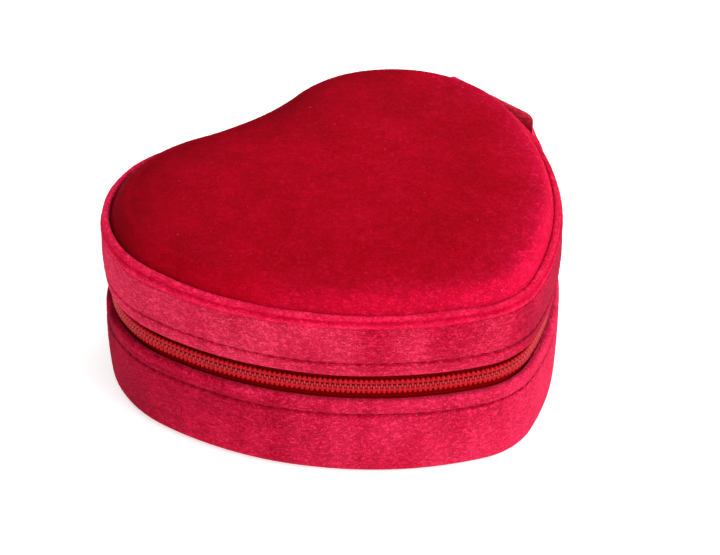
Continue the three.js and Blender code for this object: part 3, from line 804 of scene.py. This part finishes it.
def hinge_strip():
    """A doubled strip of velvet, flat across the curved wall, whose corners near the point curl in, painted
    pale on its inner face, top edge and curled end and painted dark on the rest of its outer face.
    """
    x0, y0, z0 = low("hinge_strip_base_half")
    x1, y1, _ = high("hinge_strip_base_half")
    z1 = high("hinge_strip_lid_half")[2]
    thick, width = (y1 - y0) / 2, x1 - x0
    flat_side = np.linspace(0, width - 2 * thick, round(width / PILE_STEP))
    cap = np.radians(np.linspace(90, -90, 9))[1:-1]
    front = [(thick + u, thick) for u in flat_side]
    end = [(width - thick + thick * math.cos(a), thick * math.sin(a)) for a in cap]
    back = [(thick + u, -thick) for u in flat_side[::-1]]
    start = [(thick - thick * math.cos(a), thick * math.sin(a)) for a in cap[::-1]]
    section = np.array(front + end + back + start)
    heights = np.linspace(z0, z1, round((z1 - z0) / PILE_STEP))
    grid = np.zeros((len(heights), len(section), 3))
    painted_strip_light = np.zeros(grid.shape[:2])
    bend_from = width - CURL_LENGTH
    for i, z in enumerate(heights):
        far = abs(z - ZIP_LINE) / (z1 - ZIP_LINE)
        share = np.clip((far - 0.3) / 0.6, 0, 1) ** 2
        edge = min(z - z0, z1 - z) / (1.2 * MM)
        thin = math.sqrt(np.clip(1 - (1 - min(edge, 1)) ** 2, 0.2, 1))
        near_top = math.exp(-(((z1 - z) / (2.5 * MM)) ** 2))
        near_end = np.exp(-(((width - section[:, 0]) / (3 * MM)) ** 2))
        # Painted light on the strip's inner face, its top edge and its curled end; painted shade on the
        # rest of its outer face.
        painted_strip_light[i] = 1.2 * (section[:, 1] < -0.5 * thick) + 0.8 * near_top + 0.6 * near_end - 0.85
        u, v = section[:, 0], section[:, 1] * thin
        angle = np.clip((u - bend_from) / CURL_LENGTH, 0, 1) * CURL * share
        past = np.maximum(u - bend_from, 0)
        grid[i, :, 0] = x0 + np.minimum(u, bend_from) + past * np.cos(angle / 2) - v * np.sin(angle)
        grid[i, :, 1] = (y0 + y1) / 2 - past * np.sin(angle / 2) + v * np.cos(angle)
        dropped = 1.2 * MM * (1 - u / width) + 0.5 * MM * np.clip(1 - u / (1.5 * MM), 0, 1) ** 2
        grid[i, :, 2] = z - dropped * np.clip((z - ZIP_LINE) / (z1 - ZIP_LINE), 0, 1) ** 2
    grid = pile(grid, 1.0, 11, 0.2 * MM, wrap_rows=False)
    piece = store_nap_and_painted_light(grid_piece("hinge_strip", grid, wrap_rows=False, caps=True), painted_strip_light)
    piece.data.materials.append(HINGE_VELVET_LIT)
    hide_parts("hinge_strip_base_half", "hinge_strip_lid_half")
    start, end = (x0, y1, ZIP_LINE - HINGE_FOLD), (x0, y1, ZIP_LINE + HINGE_FOLD)
    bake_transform(piece)
    return piece


hinge_strip()


# ---- Slider and pull ----
PULL_JOINT = next(j for j in frame["joints"] if j["name"] == "pull_swing")
SLIDER_LENGTH = 9 * MM
WING_OUT, WING_IN = (-0.35 * MM, 0.65 * MM), (-3.9 * MM, -2.85 * MM)  # back and front of each wing
FLANGE_RADIUS = 0.2 * MM
BAIL_WIRE = 0.48 * MM
LOOP_WIRE = 0.4 * MM
TAG_HEAD, TAG_TAIL, TAG_EYE, TAG_THICK = 1.5 * MM, 2.5 * MM, 0.8 * MM, 0.45 * MM


def arc_point(angle, offset, z):
    """A point by the back side arc of the heart, at an angle about the centre of that arc."""
    reach = SIDE_RADIUS + offset
    return [SIDE_CENTRE[0] + reach * np.cos(angle), SIDE_CENTRE[1] + reach * np.sin(angle), z]


def wing(at, length, height, back, front):
    """A pebble-shaped plate bent to the side arc, narrower at one end."""
    turns = np.linspace(0, 2 * math.pi, 48, endpoint=False)
    along = np.sign(np.cos(turns)) * np.abs(np.cos(turns)) ** 0.55
    up = np.sign(np.sin(turns)) * np.abs(np.sin(turns)) ** 0.55 * (1 - 0.16 * along)
    rows = []
    for share, depth in ((0.8, 0), (0.97, 0.02), (1, 0.3), (1, 0.62), (0.95, 0.88), (0.82, 1), (0.4, 1.06)):
        offset = back + (front - back) * depth
        angle = at + along * share * length / 2 / SIDE_RADIUS
        rows.append(np.stack(arc_point(angle, offset, ZIP_LINE + up * share * height / 2 / 1.16), axis=1))
    return np.array(rows)


def slider():
    """Two wings joined by a web, their flanges and the bail that the pull hangs on."""
    corner_low, corner_high = low("slider_body"), high("slider_body")
    crown = np.array(PULL_JOINT["pos_m"][:2]) - SIDE_CENTRE
    at = math.atan2(crown[1], crown[0])
    length, height = SLIDER_LENGTH, corner_high[2] - corner_low[2]
    outer, inner = WING_OUT, WING_IN
    grids = [wing(at, length, height, *outer), wing(at, length, height, inner[1], inner[0])]
    for side in (-1, 1):
        z = ZIP_LINE + side * (height / 2 - 0.28 * MM)
        angles = at + np.linspace(-0.4, 0.4, 9) * length / SIDE_RADIUS
        for k in range(5):
            offset = outer[0] + 0.1 * MM - k * 0.33 * MM
            path = np.stack(arc_point(angles, offset, np.full(9, z)), axis=1)
            grids.append(capsule_grid(path, np.full(9, FLANGE_RADIUS), 8))
    web = np.linspace(outer[0] + 0.2 * MM, inner[1] - 0.2 * MM, 6)
    path = np.stack(arc_point(np.full(6, at), web, np.full(6, ZIP_LINE)), axis=1)
    flat = capsule_grid(path, np.full(6, FLANGE_RADIUS), 12)
    along = np.array([-math.sin(at), math.cos(at), 0.0])
    flat += ((flat - path[:, None]) @ along)[..., None] * along * 12
    grids.append(flat)
    reach = np.linalg.norm(crown) - SIDE_RADIUS - outer[1]
    turns = np.radians(np.linspace(-8, 188, 25))
    angles = at + np.cos(turns) * reach / SIDE_RADIUS
    offsets = outer[1] + np.sin(turns) * reach
    path = np.stack(arc_point(angles, offsets, np.full(25, ZIP_LINE)), axis=1)
    grids.append(capsule_grid(path, np.full(25, BAIL_WIRE), 12))
    piece = many("slider", grids)
    return place(piece, "slider", "zip_metal", METAL, "slider_body")


def pull():
    """A jump ring through the bail, and a drop-shaped tag with a raised edge."""
    pivot = np.array(PULL_JOINT["pos_m"])
    along = np.array(PULL_JOINT["axis"])
    out = np.cross([0, 0, 1], along)
    middle = (low("pull_ring") + high("pull_ring")) / 2
    radius = (high("pull_ring")[2] - low("pull_ring")[2]) / 2 - LOOP_WIRE
    turns = np.linspace(0, 2 * math.pi, 40, endpoint=False)
    ring = middle + radius * (np.cos(turns)[:, None] * out + np.sin(turns)[:, None] * np.array([0, 0, 1]))
    spin = np.linspace(0, 2 * math.pi, 10, endpoint=False)
    spoke = (ring - middle) / radius
    round_wire = np.cos(spin)[None, :, None] * spoke[:, None] + np.sin(spin)[None, :, None] * along
    piece = grid_piece("pull_loop", ring[:, None] + LOOP_WIRE * round_wire)
    place(piece, "zip_pull", "zip_metal", METAL, "pull_ring")
    top, foot = high("pull_tag")[2], low("pull_tag")[2]
    eye_z = top - TAG_HEAD
    drop, hole = [], []
    for a in turns:
        end = TAG_HEAD if math.sin(a) > 0 else TAG_TAIL
        centre = eye_z if math.sin(a) > 0 else foot + TAG_TAIL
        drop.append((end * math.cos(a), centre + end * math.sin(a)))
        hole.append((TAG_EYE * math.cos(a), eye_z + TAG_EYE * math.sin(a)))
    drop, hole = np.array(drop), np.array(hole)
    rows = []
    for share, depth in ((0, 0.8), (0.06, 1), (0.5, 0.72), (0.8, 0.72), (0.9, 1), (0.97, 0.9), (1, 0.4)):
        rows.append((hole + (drop - hole) * share, depth * TAG_THICK))
    rows += [(xy, -depth) for xy, depth in rows[::-1]]
    grid = np.array([pivot_plane(pivot, along, out, xy, depth) for xy, depth in rows])
    return place(grid_piece("pull_drop", grid), "zip_pull", "zip_metal", METAL, "pull_tag")


def pivot_plane(pivot, along, out, xy, depth):
    """Points given across and up in the tag's plane, moved depth outward."""
    flat = pivot + xy[:, :1] * along + out * depth
    flat[:, 2] = xy[:, 1]
    return flat


slider()
pull()

# ---- Linings, floor and underside ----
LINING_FRONT, LINING_BACK = -4.6 * MM, -5.4 * MM
FOLD_OUT = -2.75 * MM  # outer end of the fold over the board's edge
INSIDE = LINING_BACK - 0.3 * MM


def lining(name, body, node, board, lip):
    """A thin flocked wall with a rolled open edge, and a fold outside it that covers the board's edge.

    lip is 1 if the open edge is the top one, or -1.
    """
    z0, z1 = low(node)[2], high(node)[2]
    half = (LINING_FRONT - LINING_BACK) / 2
    middle = (LINING_FRONT + LINING_BACK) / 2
    edge, foot = (z1 - half, z0) if lip == 1 else (z0 + half, z1)
    turn = corner((middle, edge), half, 0, 180 * lip, 9)
    fold = (high(board)[2] if lip == 1 else low(board)[2]) + 0.1 * MM * lip
    crease = fold + 0.6 * MM * lip
    cover = [(LINING_FRONT, fold), (FOLD_OUT, fold), (FOLD_OUT, crease - 0.2 * MM * lip)]
    cover += [(FOLD_OUT - 0.2 * MM, crease), (LINING_FRONT + 0.3 * MM, crease)]
    cover += [(LINING_FRONT, crease + 0.3 * MM * lip)]
    profile = [(LINING_FRONT, foot)] + cover + turn + [(LINING_BACK, foot)]
    profile = respace(profile + profile[:1], 0.8 * MM)[:-1]
    grid = ring_grid(profile, all_round(1.0 * MM))
    grid = grid + lumps(grid, 6 * MM, 12)[..., None] * 0.05 * MM
    return place(grid_piece(name, grid), body, "velvet_plain", LINING_VELVET, node)


lining("base_lining", "base", "base_lining_wall", "base_wall_board", 1)
lining("lid_lining", "lid", "lid_lining_wall", "lid_wall_board", -1)

floor_z = low("base_floor_pad")[2], high("base_floor_pad")[2]
pad = panel("floor_pad", INSIDE, floor_z[0], floor_z[1] - PILE_ROOM, 1.4 * MM, 0.3 * MM, 1.0 * MM)
place(pad, "base", "velvet_plain", LINING_VELVET, "base_floor_pad")

cover_z = low("base_bottom_cover")[2], high("base_bottom_cover")[2]
cover = panel("bottom_cover", -1.6 * MM, *cover_z, 0.5 * MM, 0.0, 1.0 * MM, rough=0.0, down=True)
place(cover, "base", "velvet_plain", LINING_VELVET, "base_bottom_cover")

# ---- Dividers, ring bed and ring rolls ----
def slab(name, node, along, ends):
    """A padded divider with a round top. ends gives both ends along the axis for each cross position."""
    (x0, y0, z0), (x1, y1, z1) = low(node), high(node)
    a, b = (y0, y1) if along == 0 else (x0, x1)
    middle, half = (a + b) / 2, (b - a) / 2
    section = [(-half, z0), (-half, z1 - half)] + corner((0, z1 - half), half, 180, 0, 12) + [(half, z0)]
    section = respace(section, 0.7 * MM)
    steps = np.linspace(0, 1, 60)
    grid = np.zeros((len(steps), len(section), 3))
    first, last = ends(middle + section[:, 0])
    for i, t in enumerate(steps):
        grid[i, :, along] = first + (last - first) * t
        grid[i, :, 1 - along] = middle + section[:, 0]
        grid[i, :, 2] = section[:, 1]
    body = lumps(grid, 7 * MM, 14) * 0.12 * MM
    grid[..., 1 - along] += body * np.sign(section[:, 0])[None]
    piece = grid_piece(name, grid, wrap_rows=False, caps=True)
    place(piece, "base", "velvet_plain", LINING_VELVET, node)
    return piece


def between(node, axis):
    ends = low(node)[axis], high(node)[axis]
    return lambda across: (np.full_like(across, ends[0]), np.full_like(across, ends[1]))


def across_heart(x):
    reach = wall_y(x, INSIDE)
    return -reach, reach


slab("long_divider", "cross_divider", 1, across_heart)
slab("dip_divider", "lobe_divider", 0, between("lobe_divider", 0))
slab("point_divider", "tip_divider", 0, between("tip_divider", 0))
frame["nodes"]["ring_bed"].data.materials.clear()
frame["nodes"]["ring_bed"].data.materials.append(FOAM)


def ring_roll(number):
    """A stuffed roll from the divider to the wall, tucked in at both ends."""
    node = f"ring_roll_{number}"
    (x0, y0, z0), (x1, _, z1) = low(node), high(node)
    middle_x, middle_z, radius = (x0 + x1) / 2, (z0 + z1) / 2, (z1 - z0) / 2
    turns = np.linspace(0, 2 * math.pi, 56, endpoint=False)
    steps = np.linspace(0, 1, 80)
    grid = np.zeros((len(steps), len(turns), 3))
    for i, t in enumerate(steps):
        near = min(t, 1 - t) * 45 * MM / (2.2 * MM)
        size = radius * math.sqrt(np.clip(1 - (1 - min(near, 1)) ** 2, 0.16, 1))
        x = middle_x + size * np.cos(turns)
        grid[i, :, 0] = x
        grid[i, :, 1] = y0 + (wall_y(x, INSIDE) - y0) * t
        grid[i, :, 2] = middle_z + size * np.sin(turns)
    grid = pile(grid, 1.0, 20 + number, 0.25 * MM, wrap_rows=False)
    piece = grid_piece(f"stuffed_roll_{number}", grid, wrap_rows=False, caps=True)
    place(piece, "base", "velvet", ROLL_VELVET, node)
    return piece


for number in range(1, 6):
    ring_roll(number)

# ---- Mirror and its frame ----
mirror_z = low("heart_mirror")[2], high("heart_mirror")[2]
glass = panel("mirror_glass", -12.3 * MM, *mirror_z, 1.2 * MM, 0.0, 1.0 * MM, rough=0.0, down=True)
place(glass, "lid", "mirror", MIRROR, "heart_mirror")


def mirror_surround():
    """A padded velvet frame, fat in the middle and thin where it meets the glass."""
    z0, z1 = low("mirror_frame")[2], high("mirror_frame")[2]
    outer, inner = INSIDE, -12 * MM
    middle, half = (outer + inner) / 2, (outer - inner) / 2
    turns = np.linspace(0, math.pi, 15)
    profile = [(middle + half * math.cos(a), z1 - (z1 - z0) * math.sin(a) ** 0.6) for a in turns]
    profile = respace(profile + profile[:1], 0.7 * MM)[:-1]
    grid = ring_grid(profile, all_round(0.8 * MM))
    grid[..., 2] += lumps(grid, 5 * MM, 31) * 0.12 * MM * (grid[..., 2] < z1 - 0.3 * MM)
    piece = grid_piece("mirror_surround", grid)
    place(piece, "lid", "velvet", ROLL_VELVET, "mirror_frame")
    return piece


mirror_surround()

for node in ("base_bottom_board", "base_wall_board", "lid_wall_board", "lid_top_board"):
    frame["nodes"][node].data.materials.clear()
    frame["nodes"][node].data.materials.append(CARD)


# ---- Studio ----
CAMERA_PLACE = 0.24783, -0.21782, 0.26039
CAMERA_WAY = -0.6112, 0.5311, -0.5869
CAMERA_SENSOR, CAMERA_LENS = 36.0, 87.09  # in millimetres
FLOOR_GREY, FLOOR_GLOW = (0.84, 0.84, 0.84, 1), 0.42
SKY_WAY = 0.85, 0.30, 0.15  # the bright side of the room
LIGHT_SIZE = 1.0


def studio_floor():
    size = 3.0
    corners = [(-size, -size, 0), (size, -size, 0), (size, size, 0), (-size, size, 0)]
    floor = make_mesh("studio_floor", corners, [(0, 1, 2, 3)], smooth=False)
    n = Nodes("white_paper")
    n.set(Base_Color=FLOOR_GREY, Roughness=0.9)
    n.set(Emission_Color=(1, 1, 1, 1), Emission_Strength=FLOOR_GLOW)
    floor.data.materials.append(n.material)


def aim(item, target):
    item.rotation_euler = (Vector(target) - item.location).to_track_quat("-Z", "Y").to_euler()


def soft_light(name, location, power):
    """A disc light aimed at the middle of the case. The power is in watts."""
    data = bpy.data.lights.new(name, "AREA")
    data.shape, data.size, data.energy = "DISK", LIGHT_SIZE, power
    lamp = bpy.data.objects.new(name, data)
    lamp.location = location
    aim(lamp, (0, 0, 0.02))
    bpy.context.scene.collection.objects.link(lamp)


def studio():
    studio_floor()
    world = bpy.data.worlds.new("studio")
    world.use_nodes = True
    tree = world.node_tree
    sky = tree.nodes["Background"]
    sky.inputs["Color"].default_value = (1, 1, 1, 1)
    side = tree.nodes.new("ShaderNodeVectorMath")
    side.operation = "DOT_PRODUCT"
    side.inputs[1].default_value = SKY_WAY
    tree.links.new(tree.nodes.new("ShaderNodeTexCoord").outputs["Generated"], side.inputs[0])
    fall = tree.nodes.new("ShaderNodeMapRange")
    for key, value in {"From Min": -0.9, "From Max": 0.9, "To Min": 0.45, "To Max": 1.0}.items():
        fall.inputs[key].default_value = value
    tree.links.new(side.outputs["Value"], fall.inputs["Value"])
    tree.links.new(fall.outputs["Result"], sky.inputs["Strength"])
    bpy.context.scene.world = world
    soft_light("key", (1.25, 0.35, 0.8), 18.0)
    soft_light("back_fill", (-0.2, 1.25, 0.8), 7.0)
    soft_light("front_fill", (0.4, -1.2, 0.65), 6.5)
    bpy.context.scene.view_settings.view_transform = "Standard"


def camera():
    data = bpy.data.cameras.new("camera")
    data.sensor_width, data.lens = CAMERA_SENSOR, CAMERA_LENS
    item = bpy.data.objects.new("camera", data)
    item.location = CAMERA_PLACE
    aim(item, item.location + Vector(CAMERA_WAY))
    bpy.context.scene.collection.objects.link(item)
    bpy.context.scene.camera = item


studio()
camera()
